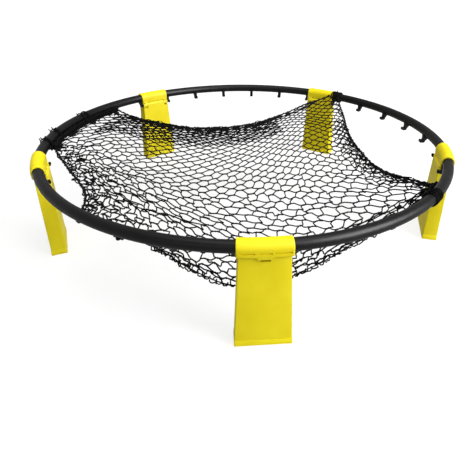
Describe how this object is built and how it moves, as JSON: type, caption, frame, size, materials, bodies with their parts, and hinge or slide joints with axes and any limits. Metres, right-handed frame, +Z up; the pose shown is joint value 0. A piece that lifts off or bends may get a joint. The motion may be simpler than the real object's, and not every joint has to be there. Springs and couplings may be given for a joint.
{
  "type": "roundnet set",
  "caption": "Round black tube hoop on folding yellow legs, with a knotted black net hooked on part of the way round and hanging slack at the front.",
  "frame": {"origin": "centre of the footprint at floor level, on the hoop's axis", "axes": "+Z up along the hoop's axis; leg 1 stands at -Y; legs, segments and hooks are counted anticlockwise seen from above"},
  "size_m": [0.914, 0.9211, 0.2022],
  "materials": {
    "hoop_plastic": "satin",
    "leg_plastic": "semi-gloss moulded",
    "pin_steel": "plain",
    "screw_steel": "plain",
    "net_cord": "twisted cord",
    "border_cord": "braided cord"
  },
  "bodies": {
    "root": {"rim_tube_1": "hoop_plastic", "rim_tube_2": "hoop_plastic", "rim_tube_3": "hoop_plastic", "rim_tube_4": "hoop_plastic", "rim_tube_5": "hoop_plastic", "leg_collar_1": "leg_plastic", "leg_collar_2": "leg_plastic", "leg_collar_3": "leg_plastic", "leg_collar_4": "leg_plastic", "leg_collar_5": "leg_plastic", "hinge_pin_1": "pin_steel", "hinge_pin_2": "pin_steel", "hinge_pin_3": "pin_steel", "hinge_pin_4": "pin_steel", "hinge_pin_5": "pin_steel", "collar_screws": "screw_steel", "net": "net_cord", "net_border": "border_cord"},
    "leg_1": {"leg_panel_1": "leg_plastic"},
    "leg_2": {"leg_panel_2": "leg_plastic"},
    "leg_3": {"leg_panel_3": "leg_plastic"},
    "leg_4": {"leg_panel_4": "leg_plastic"},
    "leg_5": {"leg_panel_5": "leg_plastic"}
  },
  "joints": [
    {"name": "leg_fold_1", "type": "hinge", "parent": "root", "child": "leg_1", "pos_m": [0, -0.4375, 0.1682], "axis": [1, 0, 0], "range_deg": [0, 80], "deforming": ["net", "net_border"]},
    {"name": "leg_fold_2", "type": "hinge", "parent": "root", "child": "leg_2", "pos_m": [0.41609, -0.1352, 0.1682], "axis": [0.309, 0.9511, 0], "range_deg": [0, 80]},
    {"name": "leg_fold_3", "type": "hinge", "parent": "root", "child": "leg_3", "pos_m": [0.25716, 0.35395, 0.1682], "axis": [-0.809, 0.5878, 0], "range_deg": [0, 80]},
    {"name": "leg_fold_4", "type": "hinge", "parent": "root", "child": "leg_4", "pos_m": [-0.25716, 0.35395, 0.1682], "axis": [-0.809, -0.5878, 0], "range_deg": [0, 80]},
    {"name": "leg_fold_5", "type": "hinge", "parent": "root", "child": "leg_5", "pos_m": [-0.41609, -0.1352, 0.1682], "axis": [0.309, -0.9511, 0], "range_deg": [0, 80]}
  ]
}
